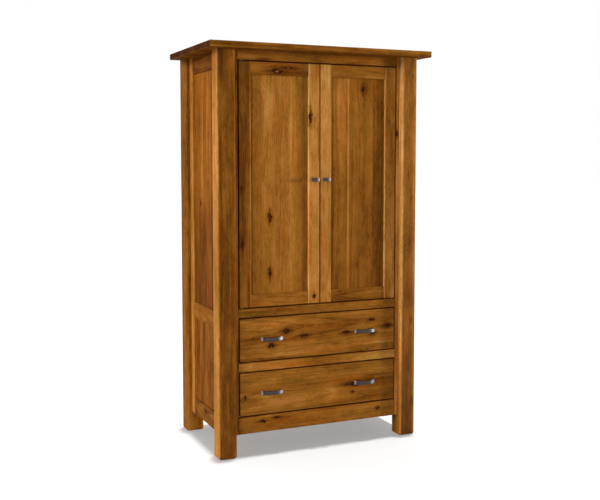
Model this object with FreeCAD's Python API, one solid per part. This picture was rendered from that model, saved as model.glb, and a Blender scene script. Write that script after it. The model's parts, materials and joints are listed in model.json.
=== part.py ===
# A rustic hardwood armoire: two framed doors over two drawers, between four square posts.
# Frame: origin on the floor at the centre of the outline, +X right, +Y to the back, +Z up, millimetres.
import FreeCAD
import Part
import os

Vector = FreeCAD.Vector

# Overall sizes: the case is measured over the posts, the height from the floor to the top's upper face.
CASE_WIDTH = 1048.0
CASE_DEPTH = 597.0
HEIGHT = 1930.0

# Top panel.
TOP_THICKNESS = 29.0
SIDE_OVERHANG = 51.0
FRONT_OVERHANG = 49.0
TOP_EASE = 2.5

# Posts.
POST = 88.0
POST_CHAMFER = 10.0
FOOT_CHAMFER = 4.0

# Joinery that the framed pieces share.
EDGE_EASE = 1.2
TENON_THICKNESS = 8.0
TENON_SHOULDER = 8.0
MORTISE_RELIEF = 1.0
GROOVE_DEPTH = 10.0
PANEL_TONGUE = 6.0
PANEL_RECESS = 8.0
PANEL_THICKNESS = 11.0
PANEL_FLOAT = 0.8
PANEL_FIELD_GAP = 1.0

# Face frame.
FACE_RECESS = 26.0
FACE_THICKNESS = 20.0
FACE_STILE_WIDTH = 18.0
FACE_TENON_LENGTH = 11.0
FOOT_CLEARANCE = 102.0
BOTTOM_RAIL_HEIGHT = 82.0
DRAWER_OPENING_HEIGHT = 214.0
DIVIDER_RAIL_HEIGHT = 44.0
TOP_RAIL_HEIGHT = 46.0

# Framed sides.
SIDE_RECESS = 25.0
SIDE_THICKNESS = 20.0
SIDE_STILE_WIDTH = 50.0
SIDE_TOP_RAIL_HEIGHT = 80.0
SIDE_MIDDLE_RAIL_HEIGHT = 78.0
SIDE_MIDDLE_RAIL_BASE = 600.0

# Back.
BACK_PANEL_THICKNESS = 6.0
BACK_PANEL_INSET = 16.0
BACK_GROOVE_DEPTH = 8.0
BACK_RAIL_THICKNESS = 20.0
BACK_TENON_LENGTH = 18.0
BACK_TOP_RAIL_HEIGHT = 80.0
BACK_MIDDLE_RAIL_HEIGHT = 60.0

# Inside: the upper shelf hangs below the top, and the lower one below the upper, underside to underside.
DECK_THICKNESS = 18.0
DECK_FIT = 0.5
SHELF_THICKNESS = 19.0
SHELF_CLEARANCE = 1.5
UPPER_SHELF_DROP = 341.0
SHELF_SPACING = 300.0
SHELF_PIN_RADIUS = 3.0
SHELF_PIN_FIT = 0.05
SHELF_PIN_INSET = 12.0
SHELF_PIN_REACH = 14.0
CLEAT_THICKNESS = 20.0
CLEAT_HEIGHT = 22.0
SLIDE_CLEAT_HEIGHT = 60.0

# Cable grommets in the back panel: their height is from the deck to their centres, and they stand off the
# middle, so that the gap between the doors doesn't show them.
GROMMET_RADIUS = 25.0
GROMMET_WALL = 3.0
GROMMET_FLANGE = 7.0
GROMMET_FLANGE_THICKNESS = 2.5
GROMMET_HEIGHT = 90.0
GROMMET_OFFSET = 230.0

# Doors.
DOOR_GAP = 3.5
MEETING_GAP = 2.0
DOOR_THICKNESS = 20.0
DOOR_STILE_WIDTH = 60.0
DOOR_RAIL_HEIGHT = 60.0

# Door pivots: the pin stands in from the door's hinge edge and back from its front face.
PIVOT_INSET = 13.0
PIVOT_DEPTH = 7.0
PIVOT_PIN_RADIUS = 2.5
PIVOT_RUNNING_GAP = 0.05
PIVOT_END_GAP = 0.3
PIVOT_WASHER_RADIUS = 4.5
LEAF_THICKNESS = 3.0
LEAF_WIDTH = 10.0
LEAF_LENGTH = 32.0
LEAF_FIT = 0.1
LEAF_SCREW_STARTS = (12.0, 25.0)
LEAF_SCREW_LENGTH = 16.0

# Magnetic catch and its strike plate, measured from the meeting line and from the opening's upper edge.
CATCH_WIDTH = 46.0
CATCH_DEPTH = 15.0
CATCH_DROP = 22.0
CATCH_RISE = 26.0
CATCH_EDGE_DISTANCE = 60.0
CATCH_AIR = 0.3
STRIKE_THICKNESS = 1.5
STRIKE_WIDTH = 32.0
STRIKE_HEIGHT = 13.0

# Drawers: the lift is from the opening's lower edge to the box.
DRAWER_GAP = 3.5
DRAWER_FRONT_THICKNESS = 20.0
BOX_WALL = 14.0
BOX_HEIGHT = 170.0
BOX_LIFT = 22.0
BOX_BOTTOM_THICKNESS = 6.0
BOX_BOTTOM_LIFT = 12.0
BOX_GROOVE_DEPTH = 6.0
BOX_BOTTOM_FLOAT = 0.5
DOVETAIL_COUNT = 4
DOVETAIL_PIN = 9.0
DOVETAIL_FLARE = 2.0

# Telescoping drawer slides, closed.
SLIDE_LENGTH = 500.0
SLIDE_SETBACK = 2.0
SLIDE_HEIGHT = 45.0
SLIDE_THICKNESS = 12.7
SLIDE_STEEL = 1.2
SLIDE_RUNNING_GAP = 0.3
SLIDE_FLANGE = 9.5

# Arched pulls, placed from the middle of the drawer.
PULL_LENGTH = 116.0
PULL_HEIGHT = 18.0
PULL_PROJECTION = 27.0
PULL_THICKNESS = 5.0
PULL_FOOT = 20.0
PULL_TIP = 3.0
PULL_OFFSET = 248.0
PULL_EASE = 0.9
PULL_SCREW_BITE = 4.0

# Door knobs: the height is above the door's lower edge, the distance is in from the meeting edge.
KNOB_HEIGHT = 598.0
KNOB_EDGE_DISTANCE = 28.0
KNOB_LENGTH = 37.0
KNOB_FACE_HEIGHT = 18.0
KNOB_BOW = 5.0
KNOB_THICKNESS = 5.0
KNOB_PROJECTION = 26.0
KNOB_STEM_RADIUS = 5.0
KNOB_BASE_RADIUS = 7.5
KNOB_BASE_THICKNESS = 2.5
KNOB_SCREW_BITE = 10.0

# Screws.
SCREW_RADIUS = 2.0
SCREW_HEAD_RADIUS = 3.6
SCREW_HEAD_THICKNESS = 2.0
SCREW_FIT = 0.05
TOP_SCREW_BITE = 16.0
TOP_SCREW_SPACING = 300.0

# Places worked out from the sizes above.
HALF_CASE = CASE_WIDTH / 2.0
FRONT = (FRONT_OVERHANG - CASE_DEPTH) / 2.0
BACK = FRONT + CASE_DEPTH
MIDDLE = (FRONT + BACK) / 2.0
POST_HEIGHT = HEIGHT - TOP_THICKNESS
POST_INNER = HALF_CASE - POST
BAY_FRONT = FRONT + POST
BAY_BACK = BACK - POST
BAY_DEPTH = BAY_BACK - BAY_FRONT
FACE_FRONT = FRONT + FACE_RECESS
FACE_BACK = FACE_FRONT + FACE_THICKNESS
HALF_OPENING = POST_INNER - FACE_STILE_WIDTH
SIDE_OUTER = HALF_CASE - SIDE_RECESS
SIDE_INNER = SIDE_OUTER - SIDE_THICKNESS
BACK_PANEL_FRONT = BACK - BACK_PANEL_INSET - BACK_PANEL_THICKNESS
BACK_RAIL_FRONT = BACK_PANEL_FRONT - BACK_RAIL_THICKNESS
LOWER_OPENING = FOOT_CLEARANCE + BOTTOM_RAIL_HEIGHT
UPPER_OPENING = LOWER_OPENING + DRAWER_OPENING_HEIGHT + DIVIDER_RAIL_HEIGHT
DOOR_OPENING = UPPER_OPENING + DRAWER_OPENING_HEIGHT + DIVIDER_RAIL_HEIGHT
DOOR_OPENING_TOP = POST_HEIGHT - TOP_RAIL_HEIGHT
DECK_UNDERSIDE = DOOR_OPENING - DECK_THICKNESS
DOOR_WIDTH = HALF_OPENING - DOOR_GAP - MEETING_GAP / 2.0
DOOR_BASE = DOOR_OPENING + DOOR_GAP
DOOR_TOP = DOOR_OPENING_TOP - DOOR_GAP
DOOR_BACK = FACE_FRONT + DOOR_THICKNESS
DOOR_CENTRE = (HALF_OPENING - DOOR_GAP + MEETING_GAP / 2.0) / 2.0
PIVOT_X = HALF_OPENING - DOOR_GAP - PIVOT_INSET
PIVOT_Y = FACE_FRONT + PIVOT_DEPTH
BOX_FRONT = FACE_FRONT + DRAWER_FRONT_THICKNESS
BOX_BACK = BOX_FRONT + SLIDE_SETBACK + SLIDE_LENGTH
BOX_OUTER = HALF_OPENING - SLIDE_THICKNESS
UPPER_SHELF = POST_HEIGHT - UPPER_SHELF_DROP
SHELF_UNDERSIDES = (UPPER_SHELF - SHELF_SPACING, UPPER_SHELF)
SHELF_PIN_ROW = (BAY_DEPTH - SIDE_STILE_WIDTH) / 2.0
CUT_PAST = 1.0

UP = Vector(0, 0, 1)
FORWARD = Vector(0, -1, 0)
SIDES = (("left", -1), ("right", 1))
DRAWERS = (("upper", UPPER_OPENING), ("lower", LOWER_OPENING))

shapes = {}


def block(x0, x1, y0, y1, z0, z1):
    """A plain box between two corners."""
    return Part.makeBox(x1 - x0, y1 - y0, z1 - z0, Vector(x0, y0, z0))


def edges_along(shape, axis):
    """The edges of a box that run along one axis: 0 for X, 1 for Y, 2 for Z."""
    found = []
    for edge in shape.Edges:
        run = edge.Vertexes[1].Point - edge.Vertexes[0].Point
        if abs(run[axis]) > run.Length / 2.0:
            found.append(edge)
    return found


def board(x0, x1, y0, y1, z0, z1, grain):
    """A box whose four edges along the grain axis are eased."""
    shape = block(x0, x1, y0, y1, z0, z1)
    return shape.makeChamfer(EDGE_EASE, edges_along(shape, grain))


def rod(radius, start, end):
    """A round bar between two points."""
    run = end - start
    return Part.makeCylinder(radius, run.Length, start, run)


def mirrored(shape):
    """The same piece on the other side of the centre plane."""
    return shape.mirror(Vector(0, 0, 0), Vector(1, 0, 0))


def both_sides(shape):
    """A piece on the right and its mirror image on the left."""
    return [shape, mirrored(shape)]


def for_side(shape, sign):
    """A piece built on the right, or its mirror image for the left."""
    return shape if sign > 0 else mirrored(shape)


def moved(shape, x, y, z, turn):
    """A copy of a piece, turned about Z by some degrees and then shifted."""
    copy = shape.copy()
    copy.rotate(Vector(0, 0, 0), UP, turn)
    copy.translate(Vector(x, y, z))
    return copy


def screw(seat, direction, length):
    """A screw whose head rests on the point seat and whose shank runs from there along direction."""
    head = rod(SCREW_HEAD_RADIUS, seat - direction * SCREW_HEAD_THICKNESS, seat)
    return head.fuse(rod(SCREW_RADIUS, seat, seat + direction * length)).removeSplitter()


def screw_hole(seat, direction, length):
    """The room for a screw: its shank, and its head where that is sunk."""
    head = rod(SCREW_HEAD_RADIUS + SCREW_FIT, seat - direction * SCREW_HEAD_THICKNESS, seat)
    return head.fuse(rod(SCREW_RADIUS + SCREW_FIT, seat, seat + direction * (length + SCREW_FIT)))


def framed_unit(width, height, stile_width, thickness, rail_spans):
    """A frame with floating panels: front face on Y = 0, centred on X = 0, standing on Z = 0.
    rail_spans holds each rail's lower and upper edge, from the bottom up."""
    half = width / 2.0
    inner = half - stile_width
    groove_back = PANEL_RECESS + PANEL_TONGUE
    stile = board(inner, half, 0, thickness, 0, height, 2)
    stile = stile.cut(block(inner - CUT_PAST, inner + GROOVE_DEPTH, PANEL_RECESS, groove_back,
                            -CUT_PAST, height + CUT_PAST))
    tip = inner + GROOVE_DEPTH - MORTISE_RELIEF
    rails = []
    for index, (low, high) in enumerate(rail_spans):
        rail = board(-inner, inner, 0, thickness, low, high, 0)
        tenon_low = low
        tenon_high = high
        if index > 0:
            tenon_low = low + GROOVE_DEPTH
            rail = rail.cut(block(-inner, inner, PANEL_RECESS, groove_back, low - CUT_PAST, tenon_low))
        if index < len(rail_spans) - 1:
            tenon_high = high - GROOVE_DEPTH
            rail = rail.cut(block(-inner, inner, PANEL_RECESS, groove_back, tenon_high, high + CUT_PAST))
        tenon = block(inner, tip, PANEL_RECESS, groove_back, tenon_low, tenon_high)
        rails.append(rail.multiFuse(both_sides(tenon)).removeSplitter())
    reach = GROOVE_DEPTH - PANEL_FLOAT
    side = inner + reach
    edge = inner - PANEL_FIELD_GAP
    panels = []
    for (_, low), (high, _) in zip(rail_spans, rail_spans[1:]):
        tongue = block(-side, side, PANEL_RECESS, groove_back, low - reach, high + reach)
        field = block(-edge, edge, groove_back, PANEL_RECESS + PANEL_THICKNESS,
                      low + PANEL_FIELD_GAP, high - PANEL_FIELD_GAP)
        panels.append(tongue.fuse(field).removeSplitter())
    return both_sides(stile), rails, panels


def tenoned_rail(half_length, tenon_length, y0, y1, z0, z1):
    """A rail along X with a shouldered tenon at each end, and the mortise that takes its right tenon."""
    middle = (y0 + y1) / 2.0
    tenon_front = middle - TENON_THICKNESS / 2.0
    tenon_back = middle + TENON_THICKNESS / 2.0
    low = z0 + TENON_SHOULDER
    high = z1 - TENON_SHOULDER
    end = half_length + tenon_length
    tenon = block(half_length, end, tenon_front, tenon_back, low, high)
    mortise = block(half_length - CUT_PAST, end + MORTISE_RELIEF, tenon_front, tenon_back, low, high)
    rail = board(-half_length, half_length, y0, y1, z0, z1, 0)
    return rail.multiFuse(both_sides(tenon)).removeSplitter(), mortise


# Top panel, the cleats under it and the screws that hold the two together.
def make_top():
    half = HALF_CASE + SIDE_OVERHANG
    top = block(-half, half, FRONT - FRONT_OVERHANG, BACK, POST_HEIGHT, HEIGHT)
    top = top.makeChamfer(TOP_EASE, top.Edges)
    cleat_low = POST_HEIGHT - CLEAT_HEIGHT
    cleat = block(SIDE_INNER - CLEAT_THICKNESS, SIDE_INNER, BAY_FRONT, BAY_BACK, cleat_low, POST_HEIGHT)
    length = CLEAT_HEIGHT + TOP_SCREW_BITE
    screws = []
    for shift in (-TOP_SCREW_SPACING / 2.0, TOP_SCREW_SPACING / 2.0):
        seat = Vector(SIDE_INNER - CLEAT_THICKNESS / 2.0, MIDDLE + shift, cleat_low)
        hole = screw_hole(seat, UP, length)
        cleat = cleat.cut(hole)
        top = top.cut(hole).cut(mirrored(hole))
        screws += both_sides(screw(seat, UP, length))
    shapes["top_panel"] = [top]
    shapes["top_screws"] = screws
    return both_sides(cleat)


# Posts: square, chamfered on their four corners and eased round the foot.
def make_post(x, y):
    half = POST / 2.0
    post = block(x - half, x + half, y - half, y + half, 0, POST_HEIGHT)
    post = post.makeChamfer(POST_CHAMFER, edges_along(post, 2))
    foot = [edge for edge in post.Edges if edge.BoundBox.ZMax < POST_HEIGHT / 2.0]
    return post.makeChamfer(FOOT_CHAMFER, foot)


def make_posts(back_cuts):
    for side, sign in SIDES:
        x = HALF_CASE - POST / 2.0
        shapes["post_front_" + side] = [for_side(make_post(x, FRONT + POST / 2.0), sign)]
        back_post = make_post(x, BACK - POST / 2.0)
        for cut in back_cuts:
            back_post = back_post.cut(cut)
        shapes["post_back_" + side] = [for_side(back_post, sign)]


# Framed sides, set in from the posts' outer faces, with holes for the shelf pins in their stiles.
def make_sides():
    height = POST_HEIGHT - FOOT_CLEARANCE
    middle = SIDE_MIDDLE_RAIL_BASE - FOOT_CLEARANCE
    spans = [
        (0, BOTTOM_RAIL_HEIGHT),
        (middle, middle + SIDE_MIDDLE_RAIL_HEIGHT),
        (height - SIDE_TOP_RAIL_HEIGHT, height),
    ]
    stiles, rails, panels = framed_unit(BAY_DEPTH, height, SIDE_STILE_WIDTH, SIDE_THICKNESS, spans)
    for underside in SHELF_UNDERSIDES:
        z = underside - SHELF_PIN_RADIUS - FOOT_CLEARANCE
        start = Vector(SHELF_PIN_ROW, SIDE_THICKNESS - SHELF_PIN_INSET, z)
        end = Vector(SHELF_PIN_ROW, SIDE_THICKNESS + CUT_PAST, z)
        holes = both_sides(rod(SHELF_PIN_RADIUS + SHELF_PIN_FIT, start, end))
        stiles = [stile.cut(hole) for stile, hole in zip(stiles, holes)]
    names = ("bottom_rail", "middle_rail", "top_rail", "lower_panel", "upper_panel")
    for side, sign in SIDES:
        place = (sign * SIDE_OUTER, MIDDLE, FOOT_CLEARANCE, 90.0 * sign)
        shapes[side + "_side_stiles"] = [moved(stile, *place) for stile in stiles]
        for name, piece in zip(names, rails + panels):
            shapes[side + "_side_" + name] = [moved(piece, *place)]


# Face frame: two stiles against the posts and four rails tenoned between them.
def make_face_frame(leaf_cuts):
    levels = {
        "bottom": (FOOT_CLEARANCE, LOWER_OPENING),
        "drawer": (LOWER_OPENING + DRAWER_OPENING_HEIGHT, UPPER_OPENING),
        "door": (UPPER_OPENING + DRAWER_OPENING_HEIGHT, DOOR_OPENING),
        "top": (DOOR_OPENING_TOP, POST_HEIGHT),
    }
    stile = board(HALF_OPENING, POST_INNER, FACE_FRONT, FACE_BACK, FOOT_CLEARANCE, POST_HEIGHT, 2)
    for name, (low, high) in levels.items():
        rail, mortise = tenoned_rail(HALF_OPENING, FACE_TENON_LENGTH, FACE_FRONT, FACE_BACK, low, high)
        stile = stile.cut(mortise)
        for cut in leaf_cuts:
            rail = rail.cut(cut).cut(mirrored(cut))
        shapes["face_" + name + "_rail"] = [rail]
    for side, sign in SIDES:
        shapes["face_stile_" + side] = [for_side(stile, sign)]


# Back: three rails tenoned into the back posts, and a thin panel behind them in grooves of the posts.
def make_back():
    levels = (
        (FOOT_CLEARANCE, LOWER_OPENING),
        (DECK_UNDERSIDE - BACK_MIDDLE_RAIL_HEIGHT, DECK_UNDERSIDE),
        (POST_HEIGHT - BACK_TOP_RAIL_HEIGHT, POST_HEIGHT),
    )
    panel_back = BACK_PANEL_FRONT + BACK_PANEL_THICKNESS
    panel_half = POST_INNER + BACK_GROOVE_DEPTH - MORTISE_RELIEF
    panel = block(-panel_half, panel_half, BACK_PANEL_FRONT, panel_back, FOOT_CLEARANCE, POST_HEIGHT)
    groove = block(POST_INNER - CUT_PAST, POST_INNER + BACK_GROOVE_DEPTH, BACK_PANEL_FRONT, panel_back,
                   FOOT_CLEARANCE, POST_HEIGHT + CUT_PAST)
    cuts = [groove]
    rails = []
    for low, high in levels:
        rail, mortise = tenoned_rail(POST_INNER, BACK_TENON_LENGTH, BACK_RAIL_FRONT, BACK_PANEL_FRONT,
                                     low, high)
        rails.append(rail)
        cuts.append(mortise)
    for hole in make_grommets(panel_back):
        panel = panel.cut(hole)
    shapes["back_panel"] = [panel]
    shapes["back_rails"] = rails
    return cuts


# Cable grommets: flanged sleeves through the back panel. Returns the holes that they need.
def make_grommets(panel_back):
    z = DOOR_OPENING + GROMMET_HEIGHT
    outer = GROMMET_RADIUS + GROMMET_WALL
    inside = Vector(GROMMET_OFFSET, BACK_PANEL_FRONT - GROMMET_FLANGE_THICKNESS, z)
    seat = Vector(GROMMET_OFFSET, BACK_PANEL_FRONT, z)
    outside = Vector(GROMMET_OFFSET, panel_back, z)
    sleeve = rod(outer, inside, outside).fuse(rod(outer + GROMMET_FLANGE, inside, seat))
    sleeve = sleeve.cut(rod(GROMMET_RADIUS, inside, outside)).removeSplitter()
    shapes["cable_grommets"] = both_sides(sleeve)
    return both_sides(rod(outer + SCREW_FIT, seat, outside))


# Deck over the drawers, notched round the four posts and flush with the rail under the doors.
def make_deck():
    edge = SIDE_INNER - DECK_FIT
    notch = POST_INNER - DECK_FIT
    deck = block(-edge, edge, FACE_BACK, BACK_PANEL_FRONT, DECK_UNDERSIDE, DOOR_OPENING)
    for y0, y1 in ((FRONT, BAY_FRONT + DECK_FIT), (BAY_BACK - DECK_FIT, BACK)):
        corner = block(notch, HALF_CASE, y0, y1, DECK_UNDERSIDE - CUT_PAST, DOOR_OPENING + CUT_PAST)
        deck = deck.cut(corner).cut(mirrored(corner))
    shapes["deck"] = [deck]


# Shelves between the posts, each on four pins.
def make_shelves():
    edge = SIDE_INNER - SHELF_CLEARANCE
    shapes["shelves"] = []
    shapes["shelf_pins"] = []
    for underside in SHELF_UNDERSIDES:
        shapes["shelves"].append(board(-edge, edge, BAY_FRONT + SHELF_CLEARANCE, BAY_BACK - SHELF_CLEARANCE,
                                       underside, underside + SHELF_THICKNESS, 0))
        for y in (MIDDLE - SHELF_PIN_ROW, MIDDLE + SHELF_PIN_ROW):
            wall = Vector(SIDE_INNER, y, underside - SHELF_PIN_RADIUS)
            hidden_end = wall + Vector(SHELF_PIN_INSET, 0, 0)
            free_end = wall - Vector(SHELF_PIN_REACH, 0, 0)
            shapes["shelf_pins"] += both_sides(rod(SHELF_PIN_RADIUS, hidden_end, free_end))


# Cleats inside the case: under the deck, and along the drawers to carry their slides.
def make_cleats(top_cleats):
    cleats = list(top_cleats)
    deck_cleat = block(SIDE_INNER - CLEAT_THICKNESS, SIDE_INNER, BAY_FRONT, BAY_BACK,
                       DECK_UNDERSIDE - CLEAT_HEIGHT, DECK_UNDERSIDE)
    cleats += both_sides(deck_cleat)
    for _, opening in DRAWERS:
        z = slide_centre(opening)
        slide_cleat = block(HALF_OPENING, POST_INNER, FACE_BACK, BACK_RAIL_FRONT,
                            z - SLIDE_CLEAT_HEIGHT / 2.0, z + SLIDE_CLEAT_HEIGHT / 2.0)
        cleats += both_sides(slide_cleat)
    shapes["support_cleats"] = cleats


def slide_centre(opening):
    """Height of a drawer's slides, at the middle of its box."""
    return opening + BOX_LIFT + BOX_HEIGHT / 2.0


def channel(web, toward, half_height, z):
    """A steel channel along Y: its web on the plane X = web, its two flanges pointing toward -1 or +1."""
    y0 = BOX_FRONT + SLIDE_SETBACK
    y1 = y0 + SLIDE_LENGTH
    plate = sorted((web, web + toward * SLIDE_STEEL))
    flange = sorted((web, web + toward * SLIDE_FLANGE))
    shape = block(plate[0], plate[1], y0, y1, z - half_height, z + half_height)
    for low in (z - half_height, z + half_height - SLIDE_STEEL):
        shape = shape.fuse(block(flange[0], flange[1], y0, y1, low, low + SLIDE_STEEL))
    return shape.removeSplitter()


# Slides: case, middle and drawer members nested with a running gap, the last one turned the other way.
def make_slides():
    step = SLIDE_STEEL + SLIDE_RUNNING_GAP
    half = SLIDE_HEIGHT / 2.0
    shapes["slide_case_members"] = []
    for name, opening in DRAWERS:
        z = slide_centre(opening)
        shapes["slide_case_members"] += both_sides(channel(HALF_OPENING, -1, half, z))
        shapes[name + "_slide_middle_members"] = both_sides(channel(HALF_OPENING - step, -1, half - step, z))
        shapes[name + "_drawer_slide_members"] = both_sides(channel(BOX_OUTER, 1, half - 2.0 * step, z))


def dovetail_pins(low, high, outer_y, inner_y):
    """A column of dovetail pins through the right side of a box, narrow at outer_y and wide at inner_y."""
    pitch = (high - low) / DOVETAIL_COUNT
    narrow = DOVETAIL_PIN / 2.0
    wide = narrow + DOVETAIL_FLARE
    pins = []
    for index in range(DOVETAIL_COUNT):
        z = low + (index + 0.5) * pitch
        corners = [(outer_y, z - narrow), (outer_y, z + narrow), (inner_y, z + wide), (inner_y, z - wide)]
        outline = [Vector(BOX_OUTER - BOX_WALL, y, height) for y, height in corners]
        face = Part.Face(Part.makePolygon(outline + outline[:1]))
        pins.append(face.extrude(Vector(BOX_WALL, 0, 0)))
    return pins


# Drawers: a flush front on a dovetailed box, whose bottom lies in grooves and passes under the box back.
def make_drawer(name, opening):
    low = opening + BOX_LIFT
    high = low + BOX_HEIGHT
    bottom_low = low + BOX_BOTTOM_LIFT
    bottom_high = bottom_low + BOX_BOTTOM_THICKNESS
    inner = BOX_OUTER - BOX_WALL
    front_end = BOX_FRONT + BOX_WALL
    back_end = BOX_BACK - BOX_WALL
    groove_half = inner + BOX_GROOVE_DEPTH
    groove_front = front_end - BOX_GROOVE_DEPTH
    groove = block(-groove_half, groove_half, groove_front, BOX_BACK, bottom_low, bottom_high)
    bottom_half = groove_half - BOX_BOTTOM_FLOAT
    bottom_front = groove_front + BOX_BOTTOM_FLOAT
    bottom = block(-bottom_half, bottom_half, bottom_front, BOX_BACK, bottom_low, bottom_high)

    box_front = block(-inner, inner, BOX_FRONT, front_end, low, high)
    box_back = block(-inner, inner, back_end, BOX_BACK, bottom_high, high)
    side = block(inner, BOX_OUTER, BOX_FRONT, BOX_BACK, low, high)
    for pin in dovetail_pins(low, high, BOX_FRONT, front_end):
        side = side.cut(pin)
        box_front = box_front.multiFuse(both_sides(pin))
    for pin in dovetail_pins(bottom_high, high, BOX_BACK, back_end):
        side = side.cut(pin)
        box_back = box_back.multiFuse(both_sides(pin))
    side = side.cut(groove)
    box_front = box_front.removeSplitter().cut(groove)

    edge = HALF_OPENING - DRAWER_GAP
    front = block(-edge, edge, FACE_FRONT, BOX_FRONT, opening + DRAWER_GAP,
                  opening + DRAWER_OPENING_HEIGHT - DRAWER_GAP)
    front = front.makeChamfer(EDGE_EASE, front.Edges)

    pulls = []
    screws = []
    z = opening + DRAWER_OPENING_HEIGHT / 2.0
    length = BOX_WALL + DRAWER_FRONT_THICKNESS + PULL_SCREW_BITE
    for centre in (-PULL_OFFSET, PULL_OFFSET):
        pull = make_pull(centre, z)
        for shift in (-1, 1):
            x = centre + shift * (PULL_LENGTH - PULL_FOOT) / 2.0
            seat = Vector(x, front_end, z)
            hole = screw_hole(seat, FORWARD, length)
            pull = pull.cut(hole)
            front = front.cut(hole)
            box_front = box_front.cut(hole)
            screws.append(screw(seat, FORWARD, length))
        pulls.append(pull)

    shapes[name + "_drawer_front"] = [front]
    shapes[name + "_drawer_box"] = both_sides(side) + [box_front, box_back.removeSplitter()]
    shapes[name + "_drawer_bottom"] = [bottom]
    shapes[name + "_drawer_pulls"] = pulls + screws


def arched_bar(outer, inner, left_end, right_end, height):
    """A bar bounded in plan by two arcs of three points each, with straight ends through the points
    of left_end and right_end, and standing up by height. The rims of its outer arc are rounded."""
    edges = [Part.Arc(*outer).toShape(), Part.Arc(*inner).toShape()]
    for chain in (left_end, right_end):
        edges += [Part.makeLine(first, second) for first, second in zip(chain, chain[1:])]
    bar = Part.Face(Part.Wire(Part.__sortEdges__(edges))).extrude(Vector(0, 0, height))
    crest = outer[1].y
    rims = [edge for edge in bar.Edges if abs(edge.BoundBox.YMin - crest) < PULL_EASE]
    return bar.makeFillet(PULL_EASE, rims)


# Arched pull: two solid feet on the drawer front and a bowed grip between them.
def make_pull(centre, z):
    low = z - PULL_HEIGHT / 2.0
    half = PULL_LENGTH / 2.0
    crest = FACE_FRONT - PULL_PROJECTION
    tips = FACE_FRONT - PULL_TIP
    outer = (Vector(centre - half, tips, low), Vector(centre, crest, low), Vector(centre + half, tips, low))
    inner = (
        Vector(centre - half + PULL_FOOT, FACE_FRONT, low),
        Vector(centre, crest + PULL_THICKNESS, low),
        Vector(centre + half - PULL_FOOT, FACE_FRONT, low),
    )
    left_end = (outer[0], Vector(centre - half, FACE_FRONT, low), inner[0])
    right_end = (outer[2], Vector(centre + half, FACE_FRONT, low), inner[2])
    return arched_bar(outer, inner, left_end, right_end, PULL_HEIGHT)


# Door knob: a small arched bar on a round stem, held by a screw through the stile.
def make_knob(x, z):
    low = z - KNOB_FACE_HEIGHT / 2.0
    half = KNOB_LENGTH / 2.0
    crest = FACE_FRONT - KNOB_PROJECTION
    tips = crest + KNOB_BOW
    outer = (Vector(x - half, tips, low), Vector(x, crest, low), Vector(x + half, tips, low))
    inner = tuple(point + Vector(0, KNOB_THICKNESS, 0) for point in outer)
    foot = Vector(x, FACE_FRONT, z)
    left_end = (outer[0], inner[0])
    right_end = (outer[2], inner[2])
    knob = arched_bar(outer, inner, left_end, right_end, KNOB_FACE_HEIGHT)
    knob = knob.fuse(rod(KNOB_STEM_RADIUS, foot, Vector(x, crest + KNOB_THICKNESS / 2.0, z)))
    knob = knob.fuse(rod(KNOB_BASE_RADIUS, foot, foot + FORWARD * KNOB_BASE_THICKNESS))
    return knob.removeSplitter()


# Door pivots: a leaf let into the case with its pin, and a leaf let into the door that turns on it.
def leaf_plate(z0, z1, fit):
    half = LEAF_WIDTH / 2.0 + fit
    plate = block(PIVOT_X - LEAF_LENGTH - fit, PIVOT_X, PIVOT_Y - half, PIVOT_Y + half, z0, z1)
    nose = rod(half, Vector(PIVOT_X, PIVOT_Y, z0), Vector(PIVOT_X, PIVOT_Y, z1))
    return plate.fuse(nose).removeSplitter()


def leaf_with_screws(face, direction):
    """A leaf whose bare side lies on Z = face and which is let in along direction. Returns its plate,
    its screws and the room that they need in the wood."""
    low, high = sorted((face, face + direction * LEAF_THICKNESS))
    plate = leaf_plate(low, high, 0.0)
    room = [leaf_plate(low, high, LEAF_FIT)]
    screws = []
    for start in LEAF_SCREW_STARTS:
        seat = Vector(PIVOT_X - start, PIVOT_Y, face + direction * SCREW_HEAD_THICKNESS)
        hole = screw_hole(seat, UP * direction, LEAF_SCREW_LENGTH)
        plate = plate.cut(hole)
        room.append(hole)
        screws.append(screw(seat, UP * direction, LEAF_SCREW_LENGTH))
    return plate, screws, room


def make_pivot(case_face, door_face, into_case):
    """One pivot of the right door: into_case is +1 at the top of the door and -1 at its foot."""
    case_leaf, case_screws, case_room = leaf_with_screws(case_face, into_case)
    door_leaf, door_screws, door_room = leaf_with_screws(door_face, -into_case)
    root = Vector(PIVOT_X, PIVOT_Y, case_face)
    into_door = UP * -into_case
    washer = rod(PIVOT_WASHER_RADIUS, root, root + into_door * (DOOR_GAP - PIVOT_RUNNING_GAP))
    pin = rod(PIVOT_PIN_RADIUS, root, root + into_door * (DOOR_GAP + LEAF_THICKNESS - PIVOT_END_GAP))
    case_leaf = case_leaf.multiFuse([washer, pin]).removeSplitter()
    bore = rod(PIVOT_PIN_RADIUS + PIVOT_RUNNING_GAP, root, root + into_door * (DOOR_GAP + LEAF_THICKNESS))
    door_leaf = door_leaf.cut(bore)
    return [case_leaf] + case_screws, case_room, [door_leaf] + door_screws, door_room


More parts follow.
